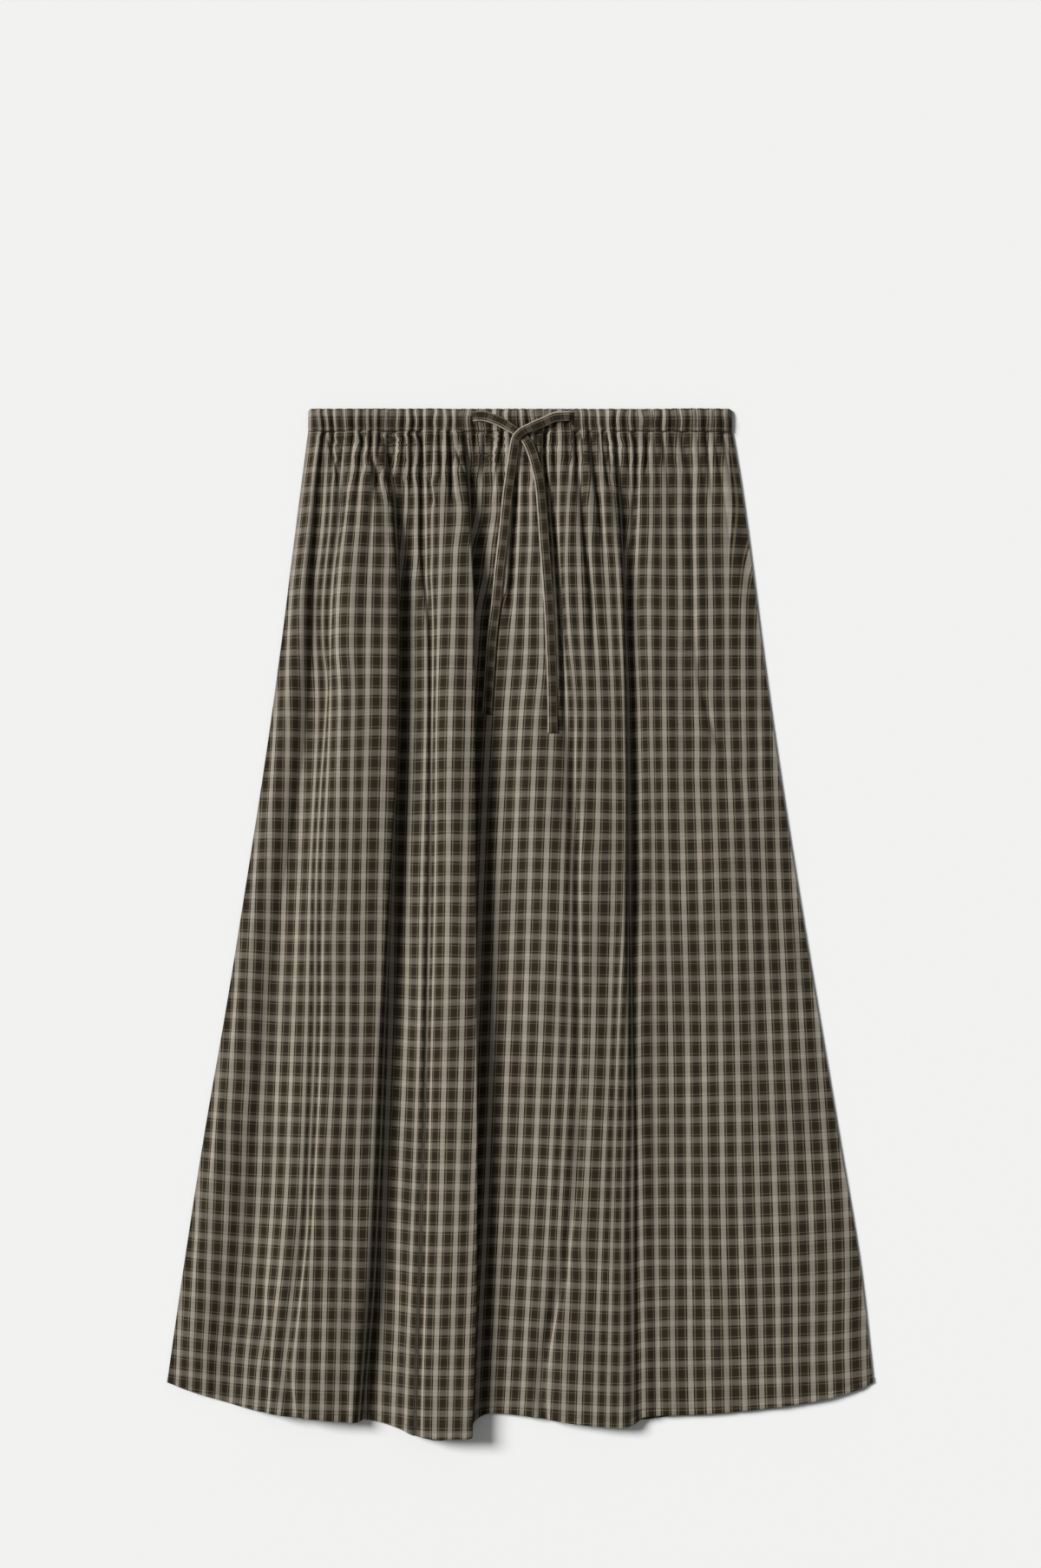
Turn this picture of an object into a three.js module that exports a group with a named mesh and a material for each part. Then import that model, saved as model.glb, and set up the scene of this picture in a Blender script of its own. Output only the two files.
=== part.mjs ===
// A-line midi skirt with a gathered drawstring waist, laid out flat on its back panel.
// Millimetres. +X is to the right across the skirt, +Y goes up to the waist, +Z is up off the surface.
// The origin lies on the surface, under the middle of the skirt's box.
import * as THREE from 'three';

// Driving sizes
const LENGTH = 840;              // waistband's top edge to the lowest point of the back hem
const BAND_HEIGHT = 17.4;        // elasticated casing, from its seam to its top edge
const BAND_HALF = 172.5;         // half of the relaxed waist, measured flat
const SIDE_LENGTH = 775;         // side seam, from the waistband down to the hem
const CLOTH = 1.0;               // wall of a panel
const GAP = 0.3;                 // clearance between two pieces that meet at a seam
const BAND_BACK = 2.2;           // thickness of the back casing with its elastic
const BAND_EDGE = 2.0;           // thickness of the front casing along its two edges
const BAND_CROWN = 1.7;          // how much the front casing puffs out between its edges
const GATHERS = 48;              // gathers across the front
const BAND_WAVE = 1.0;           // height of a gather on the casing
const PANEL_WAVE = 1.8;          // height of a gather where the panel leaves the casing
const HEM_TURN = 5;              // width of the narrow turned hem
const HEM_RAISE = 0.5;           // how much the turned hem is thicker than the panel
const TAPE_WIDTH = 8;            // drawstring, a flat tape
const TAPE_THICK = 1.2;

const TOP = LENGTH / 2;
const SEAM_Y = TOP - BAND_HEIGHT;
const PANEL_TOP = SEAM_Y - GAP;
const FRONT_UNDER = CLOTH + GAP;             // underside of the front panel where it lies on the back
const BAND_UNDER = BAND_BACK + GAP;          // underside of the front casing

// Outline and long folds of the front, by the distance down the side seam from the waistband.
// left and right are the side seams; dip, first, second and third are the valleys between the folds;
// the other columns are the heights of the folds: at the left side, the three big ones, at the right side.
const SECTIONS = [
  { down: 0, left: -172.5, dip: -158, first: -113, second: -46, third: 76, right: 172.5,
    side: 2, one: 2.5, two: 3, three: 2.5, flat: 1 },
  { down: 45, left: -178.5, dip: -164, first: -102, second: -40, third: 81.5, right: 180,
    side: 4, one: 6.5, two: 8, three: 6, flat: 2.5 },
  { down: 102, left: -186, dip: -167, first: -98, second: -39.5, third: 85, right: 188,
    side: 5, one: 11, two: 13, three: 9, flat: 3 },
  { down: 172, left: -195, dip: -169, first: -98, second: -39.5, third: 86.5, right: 197,
    side: 5, one: 13, two: 15, three: 10, flat: 3.5 },
  { down: 257, left: -207, dip: -176, first: -99.5, second: -39, third: 87.5, right: 209,
    side: 4, one: 14, two: 16, three: 11, flat: 3.5 },
  { down: 356, left: -222.5, dip: -192, first: -104, second: -38.5, third: 89, right: 224.5,
    side: 3, one: 14, two: 16, three: 11, flat: 3 },
  { down: 462, left: -239.5, dip: -205, first: -108, second: -38, third: 92, right: 242,
    side: 3, one: 14, two: 16, three: 10, flat: 3 },
  { down: 568, left: -257.5, dip: -217, first: -111, second: -37, third: 95, right: 259.5,
    side: 3, one: 14, two: 15, three: 10, flat: 3 },
  { down: 674, left: -273.5, dip: -229, first: -117, second: -37.5, third: 95, right: 276.5,
    side: 2.5, one: 14, two: 15, three: 10, flat: 3 },
  { down: 775, left: -287.5, dip: -240, first: -128, second: -41, third: 96, right: 287.5,
    side: 2, one: 13, two: 15, three: 9, flat: 2.5 },
];

// Folds between the valleys: the width over which each one rises, the width over which it drops again,
// how much wider that drop gets towards the hem, and how far the fold leans to the right.
const FOLDS = [
  { from: 'left', to: 'dip', height: 'side', rise: 6, drop: 28, looser: 0, lean: 0.1, columns: 3 },
  { from: 'dip', to: 'first', height: 'one', rise: 24, drop: 11, looser: 8, lean: 0.4, columns: 11 },
  { from: 'first', to: 'second', height: 'two', rise: 30, drop: 10, looser: 0, lean: 0.45, columns: 14 },
  { from: 'second', to: 'third', height: 'three', rise: 52, drop: 10, looser: 12, lean: 0.35, columns: 24 },
  { from: 'third', to: 'right', height: 'flat', rise: 16, drop: 60, looser: 0, lean: 0.1, columns: 20 },
];
const CLIMB = 1.3;               // above 1 a fold starts more gently out of its valley
const SOFT_START = 4;            // how much wider the drops are among the gathers
const DOME = 0.12;               // how much of a fold's height is a broad arch over its whole width
const WIDER_RISE = 0.9;          // share by which a fold's rise gets wider towards the hem
const MOST_RISE = 0.7;           // largest share of a fold's width that its rise takes
const MOST_DROP = 0.5;           // and its drop
const LEAN_START = 0.3;          // a fold leans over from this share of its width
const LEAST_LEAN = 0.25;         // share of the lean that the gathers leave
const SIDE_EASE = 12;            // width over which the folds die out at the side seams
const CROWDING = 0.45;           // how far the columns crowd towards the valleys

// Smaller creases: soft troughs along a line through three places across, between two distances down.
const CREASES = [
  { from: 0, to: 95, top: -80, middle: -79, bottom: -79, depth: 2.2, half: 5 },
  { from: 0, to: 120, top: 20, middle: 26, bottom: 28, depth: 2.2, half: 5 },
  { from: 0, to: 110, top: 46, middle: 50, bottom: 53, depth: 2.4, half: 6 },
  { from: 0, to: 60, top: 94, middle: 95, bottom: 94, depth: 1.6, half: 5 },
  { from: 30, to: 200, top: -143, middle: -149, bottom: -157, depth: 2, half: 6 },
  { from: 180, to: 320, top: 142, middle: 158, bottom: 184, depth: 1.4, half: 8 },
  { from: 280, to: 775, top: -72, middle: -76, bottom: -87, depth: 3, half: 7 },
  { from: 340, to: 775, top: -158, middle: -170, bottom: -190, depth: 3, half: 8 },
  { from: 240, to: 760, top: 39, middle: 48, bottom: 16, depth: 2.4, half: 8 },
];

// Hems, left to right: place across and how far below the waistband's top edge the cloth ends.
const FRONT_HEM = [
  { across: -287.5, below: 792.5 }, { across: -257, below: 803 }, { across: -217, below: 814 },
  { across: -165, below: 821 }, { across: -135, below: 823.5 }, { across: -127, below: 822.5 },
  { across: -115, below: 824 }, { across: -98, below: 829 }, { across: -84, below: 835 },
  { across: -58, below: 836 }, { across: -44, below: 834 }, { across: -36, below: 823 },
  { across: -27, below: 818 }, { across: -14, below: 817.5 }, { across: 10, below: 820 },
  { across: 50, below: 826 }, { across: 80, below: 828 }, { across: 94, below: 824.5 },
  { across: 101, below: 820 }, { across: 150, below: 818 }, { across: 208, below: 812.5 },
  { across: 248, below: 806 }, { across: 278, below: 797.5 }, { across: 287.5, below: 792.5 },
];
const BACK_HEM = [
  { across: -287.5, below: 792 }, { across: -217, below: 811.5 }, { across: -135, below: 820 },
  { across: -112, below: 822.5 }, { across: -88, below: 833.5 }, { across: -72, below: 840 },
  { across: -58, below: 839 }, { across: -44, below: 830 }, { across: -28, below: 815.5 },
  { across: 10, below: 817 }, { across: 80, below: 824.5 }, { across: 150, below: 816 },
  { across: 248, below: 803.5 }, { across: 287.5, below: 792 },
];

// Drawstring routes: centre line of each tape from its slit, over the knot, to its free end.
const LEFT_ROUTE = [
  { x: -34.5, y: 413.5, z: 7.5 }, { x: -29, y: 413.2, z: 7.6 }, { x: -22, y: 411.2, z: 7.7 },
  { x: -14, y: 407.6, z: 7.9 }, { x: -7.5, y: 403.6, z: 8.2 }, { x: -1.5, y: 399.6, z: 8.6 },
  { x: 3.5, y: 395.2, z: 8.8 }, { x: 8, y: 388, z: 9.4 }, { x: 12.5, y: 374, z: 10.1 },
  { x: 16, y: 357, z: 10.8 }, { x: 18, y: 335, z: 11.8 }, { x: 19.5, y: 313, z: 12.6 },
  { x: 21, y: 291, z: 13.2 }, { x: 23.5, y: 256, z: 13.6 }, { x: 25, y: 224, z: 13.8 },
  { x: 26, y: 191, z: 14 }, { x: 26.5, y: 156, z: 14.3 },
];
const RIGHT_ROUTE = [
  { x: 39.5, y: 413.5, z: 7.7 }, { x: 34, y: 413.3, z: 7.8 }, { x: 28, y: 412.6, z: 7.9 },
  { x: 20, y: 409, z: 8.5 }, { x: 10, y: 404.6, z: 10.1 }, { x: 2, y: 400.8, z: 10.9 },
  { x: -3.5, y: 395, z: 10 }, { x: -5, y: 386, z: 9.5 }, { x: -7, y: 372, z: 9.3 },
  { x: -10, y: 352, z: 9.1 }, { x: -13, y: 322, z: 9.3 }, { x: -16.5, y: 292, z: 9 },
  { x: -19.5, y: 262, z: 8.5 }, { x: -23, y: 232, z: 7.9 }, { x: -25, y: 202, z: 7.4 },
  { x: -27, y: 171, z: 7 },
];
const TAPE_STEPS = 44;
const KNOT = new THREE.Vector3(0, 400, 11);
const KNOT_DRAW = 0.35;          // how much narrower the tapes are where the knot draws them in

// Rows of the panel, as distances down the side seam; the first ones carry the gathers.
const GATHER_ROWS = [0, 8, 20, 38, 60];
const LONG_ROWS = [84, 112, 142, 175, 215, 260, 310, 360, 415, 470, 525, 580, 635, 690, 738];

// Value of a column of a table at a place, on a smooth curve through its rows.
function along(table, key, column, place) {
  let row = 0;
  while (row < table.length - 2 && place > table[row + 1][key]) row += 1;
  const a = table[row];
  const b = table[row + 1];
  const before = table[Math.max(0, row - 1)];
  const after = table[Math.min(table.length - 1, row + 2)];
  const span = b[key] - a[key];
  const t = THREE.MathUtils.clamp((place - a[key]) / span, 0, 1);
  const slopeA = (b[column] - before[column]) / (b[key] - before[key]) * span;
  const slopeB = (after[column] - a[column]) / (after[key] - a[key]) * span;
  const t2 = t * t;
  const t3 = t2 * t;
  return (2 * t3 - 3 * t2 + 1) * a[column] + (t3 - 2 * t2 + t) * slopeA
    + (3 * t2 - 2 * t3) * b[column] + (t3 - t2) * slopeB;
}

const section = (column, down) => along(SECTIONS, 'down', column, down);
const ease = (value, low, high) => THREE.MathUtils.smoothstep(value, low, high);

// Height of the long folds at a place, and how far the cloth there is pushed to the right.
function foldAt(x, down) {
  for (const fold of FOLDS) {
    const start = section(fold.from, down);
    const end = section(fold.to, down);
    if (x > end && fold.to !== 'right') continue;
    const span = end - start;
    const up = Math.min(fold.rise * (1 + WIDER_RISE * ease(down, 200, 700)), MOST_RISE * span);
    const softer = SOFT_START * (1 - ease(down, 50, 110)) + fold.looser * ease(down, 250, 650);
    const drop = Math.min(fold.drop + softer, MOST_DROP * span);
    const part = (value) => THREE.MathUtils.clamp(value, 0, 1);
    const climb = Math.sin(Math.PI / 2 * part((x - start) / up)) ** CLIMB;
    const fall = Math.sin(Math.PI / 2 * part((end - x) / drop));
    const dome = 1 - DOME + DOME * Math.sin(Math.PI * part((x - start) / span));
    const height = section(fold.height, down) * climb * fall * dome;
    return { height, push: fold.lean * height * ease(x, start + LEAN_START * span, end - drop) };
  }
  return { height: 0, push: 0 };
}

// Depth of the smaller creases at a place.
function creaseAt(x, down) {
  let depth = 0;
  for (const crease of CREASES) {
    const t = (down - crease.from) / (crease.to - crease.from);
    if (t < 0 || t > 1) continue;
    const bow = 2 * crease.middle - (crease.top + crease.bottom) / 2;
    const line = (1 - t) * (1 - t) * crease.top + 2 * t * (1 - t) * bow + t * t * crease.bottom;
    const fade = ease(t, -0.05, 0.12) * (1 - ease(t, 0.75, 1.05));
    depth += crease.depth * fade * Math.exp(-Math.pow((x - line) / crease.half, 2));
  }
  return depth;
}

// Each gather is a little higher or longer than its neighbour.
const uneven = (index) => 0.8 + 0.2 * Math.sin(2.3 * index) * Math.cos(0.7 * index + 1);
const GATHER_SHAPE = [0, 1, 0.45];

function gatherAt(column, down) {
  const index = Math.floor(column / GATHER_SHAPE.length);
  const reach = 50 + 30 * uneven(3 * index + 1);
  return GATHER_SHAPE[column % GATHER_SHAPE.length] * uneven(index) * (1 - ease(down, 0, reach));
}

// Columns follow the valleys on the panel's length, closest together near them, and are even where it
// is gathered.
function acrossAt(fraction, down) {
  const total = FOLDS.reduce((sum, fold) => sum + fold.columns, 0);
  const even = THREE.MathUtils.lerp(section('left', down), section('right', down), fraction);
  let place = fraction * total;
  let followed = section('right', down);
  for (const fold of FOLDS) {
    if (place <= fold.columns) {
      const q = place / fold.columns;
      const crowded = 0.5 - 0.5 * Math.cos(Math.PI * q);
      const closer = THREE.MathUtils.lerp(q, crowded, CROWDING);
      followed = THREE.MathUtils.lerp(section(fold.from, down), section(fold.to, down), closer);
      break;
    }
    place -= fold.columns;
  }
  return THREE.MathUtils.lerp(even, followed, ease(down, 50, 172));
}

const hemBelow = (hem, x) => along(hem, 'across', 'below', x);

// A place on a panel, given how far down its side seam a row starts.
function placeY(hem, x, down) {
  const bottom = TOP - hemBelow(hem, x);
  return THREE.MathUtils.lerp(PANEL_TOP, bottom, down / SIDE_LENGTH);
}

function frontPoint(fraction, down) {
  const x = acrossAt(fraction, down);
  const y = placeY(FRONT_HEM, x, down);
  const inset = Math.min(x - section('left', down), section('right', down) - x);
  const inside = ease(inset, 0, SIDE_EASE);
  const fold = foldAt(x, down);
  const lift = (BAND_UNDER - FRONT_UNDER) * (1 - ease(down, 0, 90));
  const raised = Math.max(fold.height + lift - creaseAt(x, down), 0) * inside;
  const open = THREE.MathUtils.lerp(LEAST_LEAN, 1, ease(down, 20, 140));
  return new THREE.Vector3(x + fold.push * inside * open, y, FRONT_UNDER + CLOTH + raised);
}

// Strip of triangles between two rows of vertex numbers, which may differ in count.
function zip(faces, a, b, turned = false) {
  const add = (p, q, r) => faces.push(...(turned ? [p, r, q] : [p, q, r]));
  let i = 0;
  let j = 0;
  while (i < a.length - 1 || j < b.length - 1) {
    const nextA = (i + 1) / (a.length - 1);
    const nextB = (j + 1) / (b.length - 1);
    if (j === b.length - 1 || (i < a.length - 1 && nextA <= nextB)) {
      add(a[i], b[j], a[i + 1]);
      i += 1;
    } else {
      add(a[i], b[j], b[j + 1]);
      j += 1;
    }
  }
}

function solid(name, points, faces, material) {
  const geometry = new THREE.BufferGeometry().setFromPoints(points);
  geometry.setIndex(faces);
  geometry.computeVertexNormals();
  const mesh = new THREE.Mesh(geometry, material);
  mesh.name = name;
  return mesh;
}

// Closed wall between an outer and an inner set of rows, both from top to bottom and left to right.
function wall(name, outer, inner, material) {
  const points = [];
  const faces = [];
  const number = (rows) => rows.map((row) => row.map((point) => points.push(point) - 1));
  const out = number(outer);
  const back = number(inner);
  for (let row = 0; row < out.length - 1; row += 1) zip(faces, out[row], out[row + 1]);
  for (let row = 0; row < back.length - 1; row += 1) zip(faces, back[row], back[row + 1], true);
  zip(faces, back[0], out[0]);
  zip(faces, out[out.length - 1], back[back.length - 1]);
  zip(faces, out.map((row) => row[0]), back.map((row) => row[0]));
  zip(faces, back.map((row) => row[row.length - 1]), out.map((row) => row[row.length - 1]));
  return solid(name, points, faces, material);
}

// Closed loft through sections with the same number of points, with flat ends.
function loft(name, sections, material) {
  const points = sections.flat();
  const faces = [];
  const size = sections[0].length;
  for (let s = 0; s < sections.length - 1; s += 1) {
    for (let k = 0; k < size; k += 1) {
      const a = s * size + k;
      const b = s * size + (k + 1) % size;
      faces.push(a, b, a + size, b, b + size, a + size);
    }
  }
  const last = (sections.length - 1) * size;
  for (let k = 1; k < size - 1; k += 1) {
    faces.push(0, k + 1, k);
    faces.push(last, last + k, last + k + 1);
  }
  return solid(name, points, faces, material);
}

const cloth = new THREE.MeshStandardMaterial({ color: 0x6f675c, roughness: 0.92, metalness: 0 });
const clothDark = new THREE.MeshStandardMaterial({ color: 0x5f584e, roughness: 0.92, metalness: 0 });
const tape = new THREE.MeshStandardMaterial({ color: 0x4a4137, roughness: 0.9, metalness: 0 });

// Front panel: outer points first, the inner ones one wall thickness behind them.
function frontPanel() {
  const fine = GATHERS * GATHER_SHAPE.length;
  const coarse = fine / 2;
  const hemRows = [SIDE_LENGTH - HEM_TURN - 1, SIDE_LENGTH - HEM_TURN, SIDE_LENGTH];
  const normalAt = (fraction, down) => {
    const step = 0.5 / coarse;
    const left = frontPoint(Math.max(fraction - step, 0), down);
    const right = frontPoint(Math.min(fraction + step, 1), down);
    const up = frontPoint(fraction, Math.max(down - 4, 0));
    const low = frontPoint(fraction, Math.min(down + 4, SIDE_LENGTH));
    return right.sub(left).cross(up.sub(low)).normalize();
  };
  const outerRow = (count, down) => {
    const turned = down >= SIDE_LENGTH - HEM_TURN ? HEM_RAISE : 0;
    return Array.from({ length: count + 1 }, (_, column) => {
      const point = frontPoint(column / count, down);
      const wave = count === fine ? PANEL_WAVE * gatherAt(column, down) : 0;
      point.z += turned + (column === 0 || column === count ? 0 : wave);
      return point;
    });
  };
  const innerRow = (down) => Array.from({ length: coarse + 1 }, (_, column) => {
    const point = frontPoint(column / coarse, down);
    const edge = column === 0 || column === coarse;
    const normal = edge ? new THREE.Vector3(0, 0, 1) : normalAt(column / coarse, down);
    const flatEnd = down === 0 || down === SIDE_LENGTH;
    if (flatEnd) normal.setY(0).normalize();
    return point.addScaledVector(normal, -CLOTH);
  });
  const outer = [
    ...GATHER_ROWS.map((down) => outerRow(fine, down)),
    ...LONG_ROWS.map((down) => outerRow(coarse, down)),
    ...hemRows.map((down) => outerRow(coarse, down)),
  ];
  const inner = [...GATHER_ROWS, ...LONG_ROWS, ...hemRows].map(innerRow);
  return wall('front_panel', outer, inner, cloth);
}

// Back panel: flat on the surface, with the same side seams and its own hem.
function backPanel() {
  const columns = 34;
  const long = SECTIONS.map((row) => row.down).filter((down) => down < SIDE_LENGTH);
  const at = (column, down, z) => {
    const x = THREE.MathUtils.lerp(section('left', down), section('right', down), column / columns);
    return new THREE.Vector3(x, placeY(BACK_HEM, x, down), z);
  };
  const row = (down, z) => Array.from({ length: columns + 1 }, (_, column) => at(column, down, z));
  const hemRows = [SIDE_LENGTH - HEM_TURN - 1, SIDE_LENGTH - HEM_TURN, SIDE_LENGTH];
  const outer = [...long, ...hemRows].map((down) => row(down, CLOTH));
  const inner = [...long, SIDE_LENGTH].map((down) => row(down, 0));
  return wall('back_panel', outer, inner, clothDark);
}

// Section of the front casing, from its seam to its top edge: shares of its height, of its crown
// and of the gathers' height.
const BAND_SECTION = [
  { up: 0, crown: 0, wave: 0.5 }, { up: 0.22, crown: 0.75, wave: 1 }, { up: 0.52, crown: 1, wave: 0.9 },
  { up: 0.82, crown: 0.7, wave: 1 }, { up: 1, crown: 0, wave: 0.5 },
];
const BAND_DIP = 0.6;            // how far the top edge dips between two gathers
const BAND_ROUND = 1.2;          // how far the inside's top corner is rounded off
const BAND_EASE = 6;             // width over which the casing flattens at its ends

// Front half of the casing: gathers stand on its outer points, its inside is plain.
function bandFront() {
  const each = GATHER_SHAPE.length;
  const stations = GATHERS * each;
  const sections = Array.from({ length: stations + 1 }, (_, station) => {
    const x = THREE.MathUtils.lerp(-BAND_HALF, BAND_HALF, station / stations);
    const end = ease(BAND_HALF - Math.abs(x), 0, BAND_EASE);
    const puff = THREE.MathUtils.lerp(0.3, 1, end);
    const wave = BAND_WAVE * GATHER_SHAPE[station % each] * uneven(Math.floor(station / each)) * end;
    const points = BAND_SECTION.map((place) => {
      const dip = place.up === 1 ? BAND_DIP * (1 - wave) : 0;
      const y = SEAM_Y + BAND_HEIGHT * place.up - dip;
      const z = BAND_UNDER + BAND_EDGE + (BAND_CROWN * place.crown + wave * place.wave) * puff;
      return new THREE.Vector3(x, y, z);
    });
    points.push(new THREE.Vector3(x, TOP - BAND_ROUND, BAND_UNDER));
    points.push(new THREE.Vector3(x, SEAM_Y, BAND_UNDER));
    return points.reverse();
  });
  return loft('waistband_front', sections, cloth);
}

// Back half of the casing, pressed flat under the skirt's weight, with a slightly wavy top edge.
function bandBack() {
  const wave = 0.4;
  const sections = Array.from({ length: GATHERS + 1 }, (_, station) => {
    const x = THREE.MathUtils.lerp(-BAND_HALF, BAND_HALF, station / GATHERS);
    const top = TOP - wave * (station % 2);
    return [
      new THREE.Vector3(x, SEAM_Y, 0), new THREE.Vector3(x, top, 0),
      new THREE.Vector3(x, top, BAND_BACK), new THREE.Vector3(x, SEAM_Y, BAND_BACK),
    ];
  });
  return loft('waistband_back', sections, clothDark);
}

// Section of the tape, in half widths and half thicknesses: a bar with softened edges.
const TAPE_SECTION = [
  { across: -1, rise: 0.5 }, { across: -0.9, rise: 1 },
  { across: 0.9, rise: 1 }, { across: 1, rise: 0.5 },
  { across: 1, rise: -0.5 }, { across: 0.9, rise: -1 },
  { across: -0.9, rise: -1 }, { across: -1, rise: -0.5 },
];

// Flat tape along a route. It is narrower where it is drawn up in the knot.
function drawstring(name, route) {
  const places = route.map((place) => new THREE.Vector3(place.x, place.y, place.z));
  const curve = new THREE.CatmullRomCurve3(places, false, 'centripetal');
  const up = new THREE.Vector3(0, 0, 1);
  const sections = Array.from({ length: TAPE_STEPS + 1 }, (_, step) => {
    const centre = curve.getPointAt(step / TAPE_STEPS);
    const side = curve.getTangentAt(step / TAPE_STEPS).cross(up).normalize();
    const drawn = 1 - ease(centre.distanceTo(KNOT), 7, 18);
    const half = TAPE_WIDTH / 2 * (1 - KNOT_DRAW * drawn);
    return TAPE_SECTION.map((place) => centre.clone()
      .addScaledVector(side, place.across * half).addScaledVector(up, place.rise * TAPE_THICK / 2));
  });
  return loft(name, sections, tape);
}

const skirt = new THREE.Group();
skirt.add(frontPanel(), backPanel(), bandFront(), bandBack());
skirt.add(drawstring('drawstring_left', LEFT_ROUTE));
skirt.add(drawstring('drawstring_right', RIGHT_ROUTE));

export default skirt;
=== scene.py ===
# %% [markdown]
# # A checked midi skirt, laid out flat
# The real skirt is an A-line front and back in a thin woven check, drawn up by an elastic casing at
# the waist and a flat drawstring. It lies on its back panel, and the front has settled into three
# large folds. Everything here is measured in millimetres and turned into metres when a mesh is made.

# %% Load the frame
import math
import bmesh
import bpy
import numpy as np
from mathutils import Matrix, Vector


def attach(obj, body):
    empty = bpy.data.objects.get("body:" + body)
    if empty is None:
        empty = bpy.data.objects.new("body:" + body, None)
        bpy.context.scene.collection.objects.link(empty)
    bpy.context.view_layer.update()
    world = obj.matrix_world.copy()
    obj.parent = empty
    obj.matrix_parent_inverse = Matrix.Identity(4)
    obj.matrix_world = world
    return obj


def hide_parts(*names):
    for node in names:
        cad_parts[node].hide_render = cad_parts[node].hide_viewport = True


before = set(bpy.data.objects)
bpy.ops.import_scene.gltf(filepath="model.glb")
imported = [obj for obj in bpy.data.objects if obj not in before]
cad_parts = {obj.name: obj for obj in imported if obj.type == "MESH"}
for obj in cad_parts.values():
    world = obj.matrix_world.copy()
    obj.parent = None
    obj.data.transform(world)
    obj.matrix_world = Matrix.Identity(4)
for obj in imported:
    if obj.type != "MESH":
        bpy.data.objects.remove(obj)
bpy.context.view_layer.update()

MM = 0.001
print("pieces in the frame:", sorted(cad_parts))

# %% [markdown]
# The camera looks straight down on the flat skirt through a long lens. The picture is taken to be
# 1200 by 1807 pixels, and one pixel is 0.707 mm of skirt, which follows from its length.

# %% Camera over the skirt
PICTURE_HEIGHT = 1807
PIXEL = 0.707
VIEW_CENTRE = Vector((0.35, 114.5, 0.0)) * MM
CAMERA_HEIGHT = 2.6
camera_data = bpy.data.cameras.new("Camera")
camera_data.sensor_width = 36
camera_data.lens = camera_data.sensor_width * CAMERA_HEIGHT / (PICTURE_HEIGHT * PIXEL * MM)
camera = bpy.data.objects.new("Camera", camera_data)
camera.location = VIEW_CENTRE + Vector((0, 0, CAMERA_HEIGHT))
scene = bpy.context.scene
scene.collection.objects.link(camera)
scene.camera = camera
scene.view_settings.view_transform = "Standard"
print(f"lens {camera_data.lens:.1f} mm")

# %% [markdown]
# Folds in thin cloth show only where light rakes over them. The main light comes low from the left
# and a little from above, soft enough that a fold's shadow has no hard edge, and a weak even light
# fills the rest. The floor is plain and pale.

# %% Light and floor
KEY_STRENGTH = 4.5
KEY_SPREAD = 22
KEY_FROM = Vector((-1.0, 0.45, 0.74))
FILL_STRENGTH = 0.20
key_data = bpy.data.lights.new("Key", "SUN")
key_data.energy = KEY_STRENGTH
key_data.angle = math.radians(KEY_SPREAD)
key = bpy.data.objects.new("Key", key_data)
key.rotation_mode = "QUATERNION"
key.rotation_quaternion = KEY_FROM.to_track_quat("Z", "Y")
scene.collection.objects.link(key)

world = bpy.data.worlds.new("Studio")
world.use_nodes = True
fill = world.node_tree.nodes["Background"]
fill.inputs["Color"].default_value = (1, 1, 1, 1)
fill.inputs["Strength"].default_value = FILL_STRENGTH
scene.world = world

floor_mesh = bpy.data.meshes.new("Floor")
FLOOR_HALF = 6
corners = [(FLOOR_HALF * a, FLOOR_HALF * b, 0) for a, b in ((-1, -1), (1, -1), (1, 1), (-1, 1))]
floor_mesh.from_pydata(corners, [], [(0, 1, 2, 3)])
floor = bpy.data.objects.new("Floor", floor_mesh)
scene.collection.objects.link(floor)
floor_paint = bpy.data.materials.new("Pale floor")
floor_paint.use_nodes = True
floor_shader = floor_paint.node_tree.nodes["Principled BSDF"]
floor_shader.inputs["Base Color"].default_value = (0.88, 0.88, 0.875, 1)
floor_shader.inputs["Roughness"].default_value = 0.9
floor_mesh.materials.append(floor_paint)
print(f"main light {KEY_STRENGTH}, even light {FILL_STRENGTH}")

# %% [markdown]
# The skirt's sizes repeat those of its solids. HEM_MIDDLE is where the hem lies on the page in the
# middle, and HEM_LINE is the distance down the side seam to the hem's row of stitches.

# %% Sizes
LENGTH = 840
BAND_HEIGHT = 17.4
BAND_HALF = 172.5
SIDE_LENGTH = 775
GAP = 0.3
TOP = LENGTH / 2
SEAM_Y = TOP - BAND_HEIGHT
PANEL_TOP = SEAM_Y - GAP
HEM_MIDDLE = TOP - 822
HEM_TURN = 5
HEM_LINE = SIDE_LENGTH - HEM_TURN
FRONT_BASE = 1.6
BACK_BASE = 0.25
BAND_UNDER = 2.5
GATHERS = 48
print(f"casing {2 * BAND_HALF:.0f} mm wide, panels {PANEL_TOP - HEM_MIDDLE:.0f} mm long in the middle")

# %% [markdown]
# Each row of SECTIONS is one section across the front, at a distance down the side seam: where the side
# seams and the valleys between the folds are, and how high each fold stands. FOLDS says between which
# valleys a fold lies and how it rises and drops, and the two hems are given by their distance below the
# top of the casing. A smooth curve runs through the rows of each table.

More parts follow.
